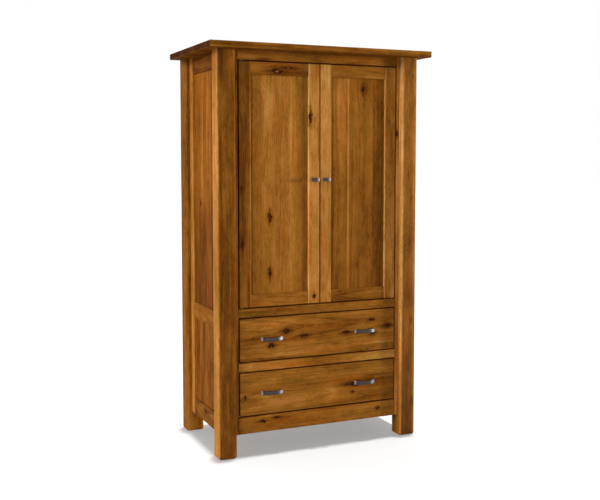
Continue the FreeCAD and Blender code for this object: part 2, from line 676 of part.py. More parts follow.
# Doors: framed panels with a knob, pivot leaves and a strike plate. Returns the case's pivot cuts.
def make_doors():
    top = make_pivot(DOOR_OPENING_TOP, DOOR_TOP, 1)
    foot = make_pivot(DOOR_OPENING, DOOR_BASE, -1)
    height = DOOR_TOP - DOOR_BASE
    spans = [(0, DOOR_RAIL_HEIGHT), (height - DOOR_RAIL_HEIGHT, height)]
    stiles, rails, panels = framed_unit(DOOR_WIDTH, height, DOOR_STILE_WIDTH, DOOR_THICKNESS, spans)
    place = (DOOR_CENTRE, FACE_FRONT, DOOR_BASE, 0.0)
    hinge_stile, meeting_stile = [moved(stile, *place) for stile in stiles]
    bottom_rail, top_rail = [moved(rail, *place) for rail in rails]
    for cut in top[3] + foot[3]:
        hinge_stile = hinge_stile.cut(cut)
        bottom_rail = bottom_rail.cut(cut)
        top_rail = top_rail.cut(cut)

    knob_x = MEETING_GAP / 2.0 + KNOB_EDGE_DISTANCE
    knob_z = DOOR_BASE + KNOB_HEIGHT
    seat = Vector(knob_x, DOOR_BACK, knob_z)
    hole = screw_hole(seat, FORWARD, DOOR_THICKNESS + KNOB_SCREW_BITE)
    knob_screw = screw(seat, FORWARD, DOOR_THICKNESS + KNOB_SCREW_BITE)
    strike_low = DOOR_OPENING_TOP - CATCH_DROP
    strike = block(CATCH_EDGE_DISTANCE - STRIKE_WIDTH / 2.0, CATCH_EDGE_DISTANCE + STRIKE_WIDTH / 2.0,
                   DOOR_BACK, DOOR_BACK + STRIKE_THICKNESS, strike_low, strike_low + STRIKE_HEIGHT)
    pieces = {
        "hinge_stile": [hinge_stile],
        "meeting_stile": [meeting_stile.cut(hole)],
        "top_rail": [top_rail],
        "bottom_rail": [bottom_rail],
        "panel": [moved(panels[0], *place)],
        "knob": [make_knob(knob_x, knob_z).cut(hole), knob_screw],
        "hardware": top[2] + foot[2] + [strike],
    }
    for side, sign in SIDES:
        for name, solids in pieces.items():
            shapes[side + "_door_" + name] = [for_side(solid, sign) for solid in solids]
    case_pivots = top[0] + foot[0]
    shapes["door_case_pivots"] = case_pivots + [mirrored(piece) for piece in case_pivots]
    return top[1] + foot[1]


# Magnetic catches: bodies on the back of the top rail that reach down behind the doors' upper corners.
def make_catches():
    x0 = CATCH_EDGE_DISTANCE - CATCH_WIDTH / 2.0
    x1 = CATCH_EDGE_DISTANCE + CATCH_WIDTH / 2.0
    back = FACE_BACK + CATCH_DEPTH
    face = DOOR_BACK + STRIKE_THICKNESS + CATCH_AIR
    base = block(x0, x1, FACE_BACK, back, DOOR_OPENING_TOP, DOOR_OPENING_TOP + CATCH_RISE)
    nose = block(x0, x1, face, back, DOOR_OPENING_TOP - CATCH_DROP, DOOR_OPENING_TOP)
    shapes["door_catches"] = both_sides(base.fuse(nose).removeSplitter())


make_posts(make_back())
make_sides()
make_face_frame(make_doors())
make_deck()
make_shelves()
make_cleats(make_top())
make_slides()
make_catches()
for drawer_name, drawer_opening in DRAWERS:
    make_drawer(drawer_name, drawer_opening)

os.makedirs("parts", exist_ok=True)
for node, pieces in shapes.items():
    solids = [solid for piece in pieces for solid in piece.Solids]
    sound = all(solid.isValid() for solid in solids)
    print(node, len(pieces), "pieces", len(solids), "solids", "valid" if sound else "NOT VALID")
    Part.makeCompound(solids).exportStep("parts/" + node + ".step")
print(len(shapes), "nodes")
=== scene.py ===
"""The looks of a two-door, two-drawer armoire in knotty stained hardwood.

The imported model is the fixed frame: every piece keeps its shape and place, and gets a finish here.
Places in the tables of knots and patches are millimetres in that frame, Z up and the front towards -Y.
Tones are steps in the level of the stain, from 0 in the darkest heartwood to 1 in the palest sapwood.
"""
import json
import math
import random

import bpy
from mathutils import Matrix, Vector


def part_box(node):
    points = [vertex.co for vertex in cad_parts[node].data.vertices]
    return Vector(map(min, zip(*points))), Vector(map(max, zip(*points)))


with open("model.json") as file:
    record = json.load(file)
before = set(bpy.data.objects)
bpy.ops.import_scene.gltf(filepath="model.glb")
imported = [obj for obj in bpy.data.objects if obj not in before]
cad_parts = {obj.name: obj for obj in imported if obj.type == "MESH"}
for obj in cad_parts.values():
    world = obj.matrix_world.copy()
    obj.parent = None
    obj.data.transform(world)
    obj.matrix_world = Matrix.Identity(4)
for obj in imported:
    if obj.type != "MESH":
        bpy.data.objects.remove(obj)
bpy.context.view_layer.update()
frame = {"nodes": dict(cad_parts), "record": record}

X, Y, Z = 0, 1, 2
MILLIMETRE = 0.001
WHOLE_LENGTH = 5000.0
WHITE = (1.0, 1.0, 1.0, 1.0)

# The two axes that places on a face are given along: across it, and up it or to its back.
FACE_AXES = {X: (Y, Z), Y: (X, Z), Z: (X, Y)}

# Camera, fitted to the photograph: its place in metres, its angles in degrees.
CAMERA_PLACE = (-1.8695, -4.2305, 1.4059)
CAMERA_PITCH = 3.969
CAMERA_YAW = 23.9
CAMERA_LENS = 54.829
CAMERA_SHIFT = -0.048

# Studio: the light from each side and where it sets in, the lamps and the floor.
SKY_FRONT = 0.10
SKY_BEHIND = 0.75
SKY_BEHIND_FADE = (-0.1, 0.35)
SKY_LEFT = 0.22
SKY_LEFT_FADE = (-0.2, -0.9)
LAMPS = {
    "left": {"strength": 3.0, "spread": 30.0, "comes_from": (-0.84, -0.36, 0.41)},
    "right": {"strength": 4.4, "spread": 5.0, "comes_from": (0.97, -0.242, 0.03)},
    "overhead": {"strength": 1.8, "spread": 20.0, "comes_from": (0.0, 0.025, 1.0)},
    "floor": {"strength": 2.6, "spread": 1.5, "comes_from": (0.018, 0.018, 1.0)},
}
FLOOR_SIZE = 60.0
FLOOR_ALBEDO = 0.6
FLOOR_SEEN_ALBEDO = 0.95
FLOOR_GLOW = 0.30

# Stain colours by level, and the other colours of the stained wood, in sRGB.
STAIN = (
    (0.00, (58, 27, 4)),
    (0.30, (103, 59, 13)),
    (0.55, (147, 93, 30)),
    (0.80, (185, 127, 62)),
    (1.00, (213, 161, 98)),
)
KNOT_DARK = (40, 18, 6)
KNOT_RED = (108, 54, 14)
KNOT_HEART = (146, 90, 40)
PORE_BROWN = (58, 28, 9)
REDDENED = (255, 232, 205)
OLIVE = (238, 250, 228)
RED_CAST = (255, 242, 215)

# Colours of the other finishes, in sRGB, the woods by level.
PALE_WOOD = ((0.0, (150, 108, 62)), (0.5, (196, 157, 104)), (1.0, (222, 190, 142)))
PLYWOOD = ((0.0, (92, 52, 18)), (0.5, (138, 88, 36)), (1.0, (172, 120, 58)))
PEWTER = (76, 67, 66)
PEWTER_PATINA = (44, 35, 34)
PEWTER_HIGHLIGHT = (134, 126, 122)
ZINC_DULL = (150, 152, 154)
ZINC_BRIGHT = (206, 208, 208)
BRASS = (132, 102, 58)
BRASS_TARNISH = (66, 46, 26)
PLASTIC_BLACK = (22, 21, 20)
PLASTIC_GREY = (52, 50, 47)

# How dark or light single boards are, against the middle of the stain.
TONES = {
    "post_front_left": -0.26,
    "post_front_right": -0.08,
    "top_panel": -0.16,
    "left_door_hinge_stile": -0.19,
    "left_door_top_rail": -0.15,
    "right_door_hinge_stile": 0.07,
    "left_door_meeting_stile": 0.16,
    "right_door_meeting_stile": 0.16,
    "face_stile_left": -0.08,
    "face_stile_right": 0.14,
    "right_door_panel": -0.09,
    "face_top_rail": -0.13,
    "face_bottom_rail": -0.08,
    "face_door_rail": -0.07,
    "left_door_bottom_rail": -0.10,
    "right_door_bottom_rail": -0.10,
    "lower_drawer_front": -0.08,
    "post_back_left": -0.10,
    "left_side_top_rail": -0.24,
    "left_side_middle_rail": -0.14,
    "left_side_bottom_rail": -0.20,
    "left_side_upper_panel": -0.10,
    "left_side_lower_panel": -0.10,
    "left_side_stiles": 0.10,
}

# Knots: the two places on the face, the radius and the stretch along the grain.
KNOTS = {
    "left_door_top_rail": ((-222, 1809, 13, 2.2), (-165, 1827, 6, 4.0)),
    "left_door_meeting_stile": ((-51, 1598, 9, 3.5), (-31, 738, 9, 1.3)),
    "left_door_hinge_stile": ((-400, 1263, 7, 1.6), (-399, 1002, 9, 2.0)),
    "face_stile_left": ((-427, 1771, 8, 2.0),),
    "face_stile_right": ((423, 1525, 9, 1.6),),
    "right_door_panel": ((236, 1740, 14, 1.3),),
    "left_door_panel": ((-257, 1124, 12, 2.0), (-257, 863, 11, 2.0)),
    "upper_drawer_front": (
        (-175, 579, 12, 1.6), (-81, 551, 9, 2.6), (-253, 515, 14, 1.2), (286, 601, 8, 2.2),
        (377, 564, 11, 1.6), (292, 535, 10, 1.4), (146, 547, 8, 3.0),
    ),
    "lower_drawer_front": ((-386, 275, 9, 0.6), (192, 286, 12, 2.4), (181, 247, 6, 1.2)),
    "face_bottom_rail": ((-300, 154, 9, 2.0), (-228, 165, 6, 3.0), (323, 149, 8, 1.2)),
    "left_side_bottom_rail": ((11, 159, 11, 1.6),),
    "right_side_upper_panel": ((40, 1420, 13, 1.8), (-60, 960, 10, 2.0)),
    "right_side_lower_panel": ((-30, 380, 12, 1.8),),
    "left_side_upper_panel": ((90, 1180, 7, 1.8),),
    "top_panel": ((180, 90, 16, 1.8), (-310, -120, 14, 2.0)),
}
# Boards whose knots have a paler heart.
WITH_HEARTS = ("left_door_top_rail",)

# Paler and darker patches, some of them painted light and shade as noted: the two places on the face, the
# two half sizes and the shift in tone.
PATCHES_AND_PAINTED_LIGHT = {
    "left_door_panel": (
        (-262, 1640, 34, 180, 0.20), (-150, 1500, 16, 160, 0.08), (-268, 1300, 40, 330, 0.07),
        (-132, 1280, 34, WHOLE_LENGTH, 0.07),
    ),
    "right_door_panel": (
        # The first darkens the right end: a darker stave with painted shade where the right post's shadow
        # falls.
        (330, 1280, 40, WHOLE_LENGTH, -0.05), (112, 1620, 52, 360, 0.17), (112, 1200, 36, 300, 0.06),
        (156, 1250, 7, WHOLE_LENGTH, 0.20), (240, 1540, 110, 170, 0.08),
    ),
    "left_door_meeting_stile": ((-49, 1270, 60, 280, 0.13),),
    "right_door_meeting_stile": ((49, 1540, 60, 190, 0.09),),
    "face_stile_right": ((427, 450, 30, 400, -0.08),),
    "left_door_hinge_stile": ((-400, 1290, 26, 110, -0.10), (-400, 1000, 26, 130, -0.12)),
    "post_front_left": (
        # The first lightens the left face and chamfer, painted light from the left; the second darkens the
        # top, a painted shadow of the top panel.
        (-526, 950, 9, WHOLE_LENGTH, 0.46), (-495, 1810, 60, 120, -0.14), (-466, 1450, 40, 260, 0.09),
        (-526, 1450, 9, 220, 0.10), (-526, 860, 9, 270, -0.10),
    ),
    "post_front_right": (
        # The first two lighten the side faces and chamfers: painted light.
        (441, 950, 10, WHOLE_LENGTH, 0.42), (512, 1000, 14, WHOLE_LENGTH, 0.16),
        (441, 150, 14, 430, -0.14), (441, 1720, 14, 260, -0.09),
    ),
    "left_side_upper_panel": ((-90, 1010, 60, 230, -0.08), (25, 1320, 300, 270, 0.12)),
    "face_top_rail": ((-294, 1861, 70, 12, -0.24), (165, 1861, 60, 12, -0.2)),
    "upper_drawer_front": ((330, 570, 110, 30, -0.12), (-200, 620, 120, 26, 0.12)),
    "lower_drawer_front": ((-300, 330, 150, 30, 0.12), (60, 250, 60, 70, 0.14), (150, 286, 90, 16, -0.16)),
}

# How much darker or lighter upright boards are at their foot and at their head.
GRADES = {
    "post_front_right": (-0.17, 0.19),
    "left_side_upper_panel": (-0.16, 0.04),
    "left_door_meeting_stile": (0.02, -0.10),
    "right_door_meeting_stile": (-0.05, 0.07),
    "left_door_panel": (-0.03, 0.02),
    "right_door_panel": (-0.06, 0.02),
}

# Width in millimetres of the staves that wide pieces are glued up from.
GLUED_UP = {
    "left_door_panel": 78.0,
    "right_door_panel": 78.0,
    "left_side_upper_panel": 84.0,
    "left_side_lower_panel": 84.0,
    "right_side_upper_panel": 84.0,
    "right_side_lower_panel": 84.0,
    "top_panel": 110.0,
    "deck": 110.0,
    "shelves": 90.0,
}
# How strongly the figure of single boards shows.
FIGURE = {"left_door_panel": 0.45, "right_door_panel": 0.6}
# Tone of the painted shade at the left edge of the door panels, beside the stile, where the stile's shadow
# falls.
PANEL_CORNER_SHADE = {"left_door_panel": -0.11, "right_door_panel": -0.03}
# Boards with a redder stain.
RED_BOARDS = ("left_side_top_rail", "left_side_upper_panel", "left_side_lower_panel")
# The varnish, and boards that shine more than the rest.
SATIN_COAT = 0.05
SHINY_BOARDS = {"post_front_right": 0.15}
COAT_ROUGHNESS = 0.28
# Nodes that hold several boards, so that their box doesn't say where the edges are.
SEVERAL_SOLIDS = ("shelves", "back_rails", "left_side_stiles", "right_side_stiles")

# What differs at random from board to board: the shift of the noise, the tone, and the heart of the trunk,
# which lies aside by a share of the board's width, behind it by some metres, and at a slope to it.
NOISE_SHIFT = 40.0
TONE_SPREAD = 0.05
HEART_ASIDE = 0.3
HEART_BEHIND = (0.06, 0.16)
HEART_LEAN = (0.015, 0.04)

# How far the figure jumps from stave to stave, along the grain and across it in metres, and in tone.
STAVE_JUMP_ALONG = 5.0
STAVE_JUMP_ACROSS = 0.3
STAVE_TONES = 0.08
STAVE_UNEVENNESS = 0.55

# Growth rings and broader bands per metre, and how far in metres the grain wanders.
GROWTH_RINGS = 190.0
BROAD_BANDS = 34.0
WANDER_REACH = 0.05

# Noise in the stained wood: waves per metre along the grain and across it, detail and roughness.
WOOD_NOISE = {
    "wander": (1.6, 6.0, 2.0, 0.5),
    "streaks": (2.2, 85.0, 4.0, 0.6),
    "flame": (3.4, 13.0, 2.0, 0.5),
    "lines": (5.0, 230.0, 2.0, 0.5),
    "fibres": (22.0, 1300.0, 1.0, 0.5),
    "mottle": (16.0, 34.0, 2.0, 0.5),
    "pores": (48.0, 1500.0, 0.0, 0.5),
    "flecks": (34.0, 230.0, 1.0, 0.5),
    "warmth": (2.6, 24.0, 2.0, 0.5),
    "chips": (75.0, 75.0, 3.0, 0.6),
    "specks": (260.0, 260.0, 1.0, 0.5),
}
# The kinds that take the board's shift backwards, so that they don't follow the others.
SHIFTED_BACKWARDS = ("pores", "flecks", "warmth")
# Where in its noise or band each of these starts, and where it is full.
LATE_WOOD_FADE = (0.52, 0.72)
PORE_FADE = (0.60, 0.70)
FLECK_FADE = (0.56, 0.70)
DARK_FLAME_FADE = (0.62, 0.40)
REDDER_FADE = (0.5, 0.75)
GREENER_FADE = (0.5, 0.25)
SPECK_FADE = (0.52, 0.66)
# How far a surface faces along the grain where it starts to be end grain, and where it is nothing else.
END_GRAIN_FADE = (0.6, 0.95)

# The level of the stain without figure, and what each part of the figure adds to it.
PLAIN_LEVEL = 0.28
FIGURE_LEVELS = {"broad": 0.38, "streaks": 0.30, "flame": 0.40}
TEXTURE_LEVELS = {"mottle": 0.24, "flecks": -0.14, "late": -0.08, "fibres": 0.10, "lines": 0.20}
END_GRAIN_TONE = -0.4
PORE_STRENGTH = 0.5
# What each part of the figure adds to the roughness and to the relief, and the relief's depth in metres.
PLAIN_ROUGHNESS = 0.36
ROUGHNESS_PARTS = {"streaks": 0.16, "pores": 0.12, "end_grain": 0.14}
RELIEF_PARTS = {"fibres": 0.5, "pores": -0.9, "growth": 0.25}
RELIEF_DEPTH = 0.0004

# Wear at edges, painted shade in the gaps and a painted highlight on stile edges beside the panels: the
# shift in tone, and the distances in metres where it starts and is full.
RUBBED_EDGE = (0.10, 0.0042, 0.0016)
RUBBED_RAGGED = 0.004
# Painted shade in the gaps.
PAINTED_GAP_SHADE = (-0.36, 0.0034, 0.0012)
# Painted highlight on stile edges beside the panels.
PAINTED_EDGE_HIGHLIGHT = (0.22, 0.008, 0.003)
# Where the painted shade at the panels' left edges starts and is full.
PANEL_CORNER_SHADE_FADE = (0.024, 0.017)
# Patches: where they start and are full, as a share of their half sizes, and how ragged they are.
PATCH_FADE = (1.55, 0.65)
PATCH_RAGGED = 0.9

# Knots: how softly the grain bends round them, and the size of their dark tails against their own.
KNOT_SOFTNESS = 0.6
TAIL_ALONG = 2.6
TAIL_ACROSS = 0.35
# Their shift in tone, and the distances in half sizes where it starts and is full.
KNOT_HALO = (-0.10, 2.4, 1.0)
KNOT_TAIL = (-0.26, 1.3, 0.2)
# How chips tear their outline, as a factor and what is added, and where their colours start and are full.
KNOT_TORN = (2.2, -0.15)
KNOT_RIM_FADE = (1.6, 0.8)
KNOT_RIM_STRENGTH = 0.42
KNOT_CORE_FADE = (0.98, 0.66)
KNOT_HEART_FADE = (0.40, 0.15)

# Pulls, in metres: their place to each side of the middle, and where from there each painted highlight
# starts and is brightest.
PULL_PLACE = 0.248
PULL_RIGHT_END = (0.018, 0.044)
PULL_LEFT_TIP = (-0.049, -0.055)
# Patina on pulls and knobs, in metres from the front: where it starts and is full, and how ragged it is.
PATINA_STARTS = 0.008
PATINA_FULL = 0.030
PATINA_RAGGED = 0.006
# The least roughness of pulls and knobs.
PULL_ROUGHNESS = 0.20
KNOB_ROUGHNESS = 0.42


def shade(red, green, blue):
    """An sRGB colour as the linear one that nodes take."""
    linear = []
    for value in (red, green, blue):
        part = value / 255.0
        linear.append(part / 12.92 if part <= 0.04045 else ((part + 0.055) / 1.055) ** 2.4)
    return (*linear, 1.0)


def grey(level):
    """A linear grey with full opacity, as nodes take it."""
    return (level, level, level, 1.0)


class Tree:
    """A tree of shader nodes, with short calls for the nodes that finishes and stage share."""

    def __init__(self, tree):
        self.nodes = tree.nodes
        self.links = tree.links

    def add(self, kind, **settings):
        node = self.nodes.new(kind)
        for name, value in settings.items():
            setattr(node, name, value)
        return node

    def feed(self, socket, value):
        """Links an output to a socket, or sets the socket's own value."""
        if isinstance(value, bpy.types.NodeSocket):
            self.links.new(value, socket)
        else:
            socket.default_value = value

    def maths(self, operation, *values):
        node = self.add("ShaderNodeMath", operation=operation)
        for socket, value in zip(node.inputs, values):
            self.feed(socket, value)
        return node.outputs[0]

    def weighted(self, base, *terms):
        """The base plus each weight times its value."""
        result = base
        for weight, value in terms:
            result = self.maths("MULTIPLY_ADD", value, weight, result)
        return result

    def diagonal(self, first, second):
        """The length of the diagonal over two lengths at right angles."""
        square = self.maths("MULTIPLY_ADD", first, first, self.maths("MULTIPLY", second, second))
        return self.maths("SQRT", square)

    def fade(self, value, start, full):
        """A smooth step from 0 at the start to 1 where it is full."""
        node = self.add("ShaderNodeMapRange", interpolation_type="SMOOTHSTEP")
        for name, number in (("Value", value), ("From Min", start), ("From Max", full)):
            self.feed(node.inputs[name], number)
        return node.outputs[0]

    def split(self, vector):
        node = self.add("ShaderNodeSeparateXYZ")
        self.links.new(vector, node.inputs[0])
        return list(node.outputs)

    def joined(self, *parts):
        node = self.add("ShaderNodeCombineXYZ")
        for socket, value in zip(node.inputs, parts):
            self.feed(socket, value)
        return node.outputs[0]

    def noise(self, vector, waves, detail=2.0, roughness=0.5, shift=(0.0, 0.0, 0.0)):
        """Noise with so many waves per metre along each axis of the vector."""
        mapping = self.add("ShaderNodeMapping")
        self.feed(mapping.inputs["Vector"], vector)
        mapping.inputs["Scale"].default_value = waves
        mapping.inputs["Location"].default_value = shift
        node = self.add("ShaderNodeTexNoise")
        node.inputs["Scale"].default_value = 1.0
        node.inputs["Detail"].default_value = detail
        node.inputs["Roughness"].default_value = roughness
        self.links.new(mapping.outputs[0], node.inputs["Vector"])
        return node.outputs[0]

    def bands(self, place, detail=2.0):
        """Noise along one coordinate."""
        node = self.add("ShaderNodeTexNoise", noise_dimensions="1D")
        node.inputs["Scale"].default_value = 1.0
        node.inputs["Detail"].default_value = detail
        self.feed(node.inputs["W"], place)
        return node.outputs[0]

    def cells(self, place, width, unevenness):
        """Random numbers, one triple for each stretch of about that width along one coordinate."""
        node = self.add("ShaderNodeTexVoronoi", voronoi_dimensions="1D")
        node.inputs["Scale"].default_value = 1.0 / width
        node.inputs["Randomness"].default_value = unevenness
        self.feed(node.inputs["W"], place)
        return self.split(node.outputs["Color"])

    def mixed(self, factor, first, second, blend_type="MIX"):
        """Two colours mixed. The Mix node has its sockets for colours after those for its other types."""
        node = self.add("ShaderNodeMix", data_type="RGBA", blend_type=blend_type)
        self.feed(node.inputs[0], factor)
        self.feed(node.inputs[6], first)
        self.feed(node.inputs[7], second)
        return node.outputs[2]

    def colours(self, value, stops):
        """A ramp through sRGB colours at their places from 0 to 1."""
        node = self.add("ShaderNodeValToRGB")
        elements = node.color_ramp.elements
        while len(elements) < len(stops):
            elements.new(0.5)
        for element, (place, colour) in zip(elements, stops):
            element.position = place
            element.color = shade(*colour)
        self.links.new(value, node.inputs[0])
        return node.outputs[0]


class Finish(Tree):
    """One node-based material on a piece."""

    def __init__(self, name):
        self.material = bpy.data.materials.new(name)
        self.material.use_nodes = True
        super().__init__(self.material.node_tree)
        self.surface = self.nodes["Principled BSDF"].inputs
        coordinates = self.add("ShaderNodeTexCoord").outputs
        self.place = coordinates["Object"]
        self.normal = coordinates["Normal"]

    def end_grain(self, grain):
        """1 where the surface cuts across the grain."""
        facing = self.maths("ABSOLUTE", self.split(self.normal)[grain])
        return self.fade(facing, *END_GRAIN_FADE)

    def bump(self, height, depth):
        node = self.add("ShaderNodeBump")
        node.inputs["Strength"].default_value = 1.0
        node.inputs["Distance"].default_value = depth
        self.links.new(height, node.inputs["Height"])
        self.links.new(node.outputs[0], self.surface["Normal"])

    def set(self, **values):
        """Sets or links the surface's own sockets, named with _ for each space."""
        for name, value in values.items():
            self.feed(self.surface[name.replace("_", " ")], value)
        return self.material


def board_axes(name):
    """The axis that a board's grain runs along, and the axis that its face looks along."""
    if name in ("top_panel", "deck", "shelves"):
        return X, Z
    if "_side_" in name:
        upright = name.endswith("stiles") or name.endswith("panel")
        return (Z if upright else Y), X
    level = name.endswith("rail") or name.endswith("rails") or name.endswith("drawer_front")
    return (X if level else Z), Y


def noise_shift(draw):
    """How far a piece's noise is shifted along each axis."""
    return [draw.uniform(-NOISE_SHIFT, NOISE_SHIFT) for _ in range(3)]


class Board(Finish):
    """The finish of one stained board, with its axes, its box, its random draws and its knots."""

    def __init__(self, name):
        super().__init__(name + "_wood")
        self.name = name
        self.grain, self.face = board_axes(name)
        self.sideways = X + Y + Z - self.grain - self.face
        self.low, self.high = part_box(name)
        self.parts = self.split(self.place)
        draw = random.Random(name)
        self.shift = noise_shift(draw)
        self.tone = draw.uniform(-TONE_SPREAD, TONE_SPREAD) + TONES.get(name, 0.0)
        self.heart_aside = draw.uniform(-HEART_ASIDE, HEART_ASIDE)
        self.heart_behind = draw.uniform(*HEART_BEHIND)
        self.heart_lean = draw.choice((-1, 1)) * draw.uniform(*HEART_LEAN)
        self.knots = [self.knot(mark[:2], *mark[2:]) for mark in KNOTS.get(name, ())]

    def width(self, axis):
        return self.high[axis] - self.low[axis]

    def middle(self, axis):
        return (self.low[axis] + self.high[axis]) / 2.0

    def inner_edge(self):
        """The edge towards the middle of the front, as a place along X."""
        return self.low[X] if self.low[X] > 0.0 else self.high[X]

    def outer_edge(self):
        """The edge away from the middle of the front, as a place along X."""
        return self.high[X] if self.low[X] > 0.0 else self.low[X]

    def from_plane(self, axis, place):
        """Distance from a plane across an axis."""
        return self.maths("ABSOLUTE", self.maths("SUBTRACT", self.parts[axis], place))

    def edge_distance(self):
        """Distance of a point on the skin of the board's box from the nearest edge: the middle one of its
        distances from the three pairs of faces."""
        gaps = []
        for axis in (X, Y, Z):
            offset = self.from_plane(axis, self.middle(axis))
            gaps.append(self.maths("SUBTRACT", self.width(axis) / 2.0, offset))
        lower = self.maths("MINIMUM", gaps[X], gaps[Y])
        upper = self.maths("MAXIMUM", gaps[X], gaps[Y])
        return self.maths("MAXIMUM", lower, self.maths("MINIMUM", upper, gaps[Z]))

    def oval(self, places, halves):
        """Distance from a mark's middle, as a share of its half sizes along the face's two axes."""
        shares = []
        for axis, place, half in zip(FACE_AXES[self.face], places, halves):
            offset = self.maths("SUBTRACT", self.parts[axis], place * MILLIMETRE)
            shares.append(self.maths("MULTIPLY", offset, 1.0 / (half * MILLIMETRE)))
        return self.diagonal(*shares)

    def knot(self, places, radius, stretch):
        """A knot's place across the grain in metres, the oval distance from its middle, and the one for
        the dark tail along the grain."""
        halves = []
        tails = []
        for axis, place in zip(FACE_AXES[self.face], places):
            if axis == self.grain:
                halves.append(radius * stretch)
                tails.append(radius * stretch * TAIL_ALONG)
            else:
                halves.append(radius)
                tails.append(radius * TAIL_ACROSS)
                aside = place * MILLIMETRE
        return aside, self.oval(places, halves), self.oval(places, tails)

    def grained(self, kind, place):
        """One kind of noise in the wood, stretched along the grain."""
        along, across, detail, roughness = WOOD_NOISE[kind]
        shift = self.shift[::-1] if kind in SHIFTED_BACKWARDS else self.shift
        return self.noise(place, (along, across, across), detail, roughness, shift)

    def toned(self, level, distance, tone, start, full):
        """The level with a shift in tone that sets in from one distance to another."""
        return self.weighted(level, (tone, self.fade(distance, start, full)))

    def summed(self, base, weights, figure):
        """The base plus the parts of the figure that the weights name."""
        return self.weighted(base, *((weight, figure[part]) for part, weight in weights.items()))


def grain_flow(board):
    """The place across the grain, bent so that the grain flows round the knots."""
    across = board.parts[board.sideways]
    flow = across
    for aside, distance, _ in board.knots:
        square = board.maths("MULTIPLY_ADD", distance, distance, KNOT_SOFTNESS)
        bend = board.maths("DIVIDE", board.maths("SUBTRACT", aside, across), square)
        flow = board.maths("ADD", flow, bend)
    return flow


def in_staves(board, along, flow):
    """Places along the grain and across it, and the tone, which jump from stave to stave if a piece is
    glued up."""
    if board.name not in GLUED_UP:
        return along, flow, board.tone
    place = board.maths("ADD", board.parts[board.sideways], board.shift[0])
    stave = board.cells(place, GLUED_UP[board.name] * MILLIMETRE, STAVE_UNEVENNESS)
    along = board.weighted(along, (STAVE_JUMP_ALONG, stave[0]))
    flow = board.weighted(flow, (STAVE_JUMP_ACROSS, stave[1]))
    tone = board.weighted(board.tone - STAVE_TONES / 2.0, (STAVE_TONES, stave[2]))
    return along, flow, tone


def heart_distance(board, along, drift):
    """Distance from the heart of the trunk that the board was cut from."""
    heart = board.middle(board.sideways) + board.heart_aside * board.width(board.sideways)
    aside = board.maths("SUBTRACT", drift, heart + WANDER_REACH / 2.0)
    behind = board.maths("ADD", board.parts[board.face], board.heart_behind - board.middle(board.face))
    return board.diagonal(aside, board.weighted(behind, (board.heart_lean, along)))


def figure_parts(board, along, flow):
    """The parts of the wood's figure by name, each between 0 and 1."""
    depth = board.parts[board.face]
    wander = board.grained("wander", board.joined(along, flow, depth))
    drift = board.weighted(flow, (WANDER_REACH, wander))
    place = board.joined(along, drift, depth)
    kinds = ("streaks", "flame", "lines", "fibres", "mottle", "warmth")
    figure = {kind: board.grained(kind, place) for kind in kinds}

    ring = heart_distance(board, along, drift)
    figure["growth"] = board.bands(board.weighted(board.shift[1], (GROWTH_RINGS, ring)))
    figure["broad"] = board.bands(board.weighted(board.shift[2], (BROAD_BANDS, ring)))
    figure["late"] = board.fade(figure["growth"], *LATE_WOOD_FADE)

    figure["pores"] = board.fade(board.grained("pores", place), *PORE_FADE)
    flecks = board.fade(board.grained("flecks", place), *FLECK_FADE)
    figure["flecks"] = board.maths("MULTIPLY", flecks, board.fade(figure["flame"], *DARK_FLAME_FADE))
    figure["end_grain"] = board.end_grain(board.grain)
    return figure


def figure_level(board, tone, figure):
    """The level of the stain that the board's tone and its figure give."""
    strength = FIGURE.get(board.name, 1.0)
    figure_levels = {part: weight * strength for part, weight in FIGURE_LEVELS.items()}
    average = sum(figure_levels.values()) / 2.0
    level = board.maths("ADD", tone, PLAIN_LEVEL - average)
    level = board.summed(level, figure_levels, figure)
    return board.summed(level, TEXTURE_LEVELS, figure)


def with_patches_and_painted_light(board, level, flame):
    """The level with the patches of a board, some of them painted light and shade, and its change from foot
    to head.
    """
    # Some patches are painted light and shade.
    for mark in PATCHES_AND_PAINTED_LIGHT.get(board.name, ()):
        ragged = board.weighted(board.oval(mark[:2], mark[2:4]), (PATCH_RAGGED, flame))
        level = board.toned(level, ragged, mark[4], *PATCH_FADE)
    if board.name in GRADES:
        foot, head = GRADES[board.name]
        slope = (head - foot) / board.width(Z)
        grade = board.weighted(foot - slope * board.low[Z], (slope, board.parts[Z]))
        level = board.maths("ADD", level, grade)
    return level


def gap_sides(board):
    """The sides of a door, drawer or face frame piece that border a gap, as an axis and a place along it.
    They get painted shade there, where shade falls in the gap."""
    name = board.name
    upper = (Z, board.high[Z])
    lower = (Z, board.low[Z])
    if name.endswith("drawer_front"):
        return (X, board.low[X]), (X, board.high[X]), upper, lower
    if name.endswith("hinge_stile"):
        return (X, board.outer_edge()), upper, lower
    if name.endswith("meeting_stile"):
        return (X, board.inner_edge()), upper, lower
    if name.startswith("face_stile"):
        return ((X, board.inner_edge()),)
    if name in ("face_bottom_rail", "left_door_top_rail", "right_door_top_rail"):
        return (upper,)
    if name in ("face_top_rail", "left_door_bottom_rail", "right_door_bottom_rail"):
        return (lower,)
    if name.startswith("face_"):
        return upper, lower
    return ()


def highlighted_sides(board):
    """The side of a door stile beside the panel that gets a painted highlight, where it catches the light,
    as an axis and a place along it.
    """
    if board.name.endswith("hinge_stile"):
        return ((X, board.inner_edge()),)
    if board.name == "left_door_meeting_stile":
        return ((X, board.outer_edge()),)
    return ()


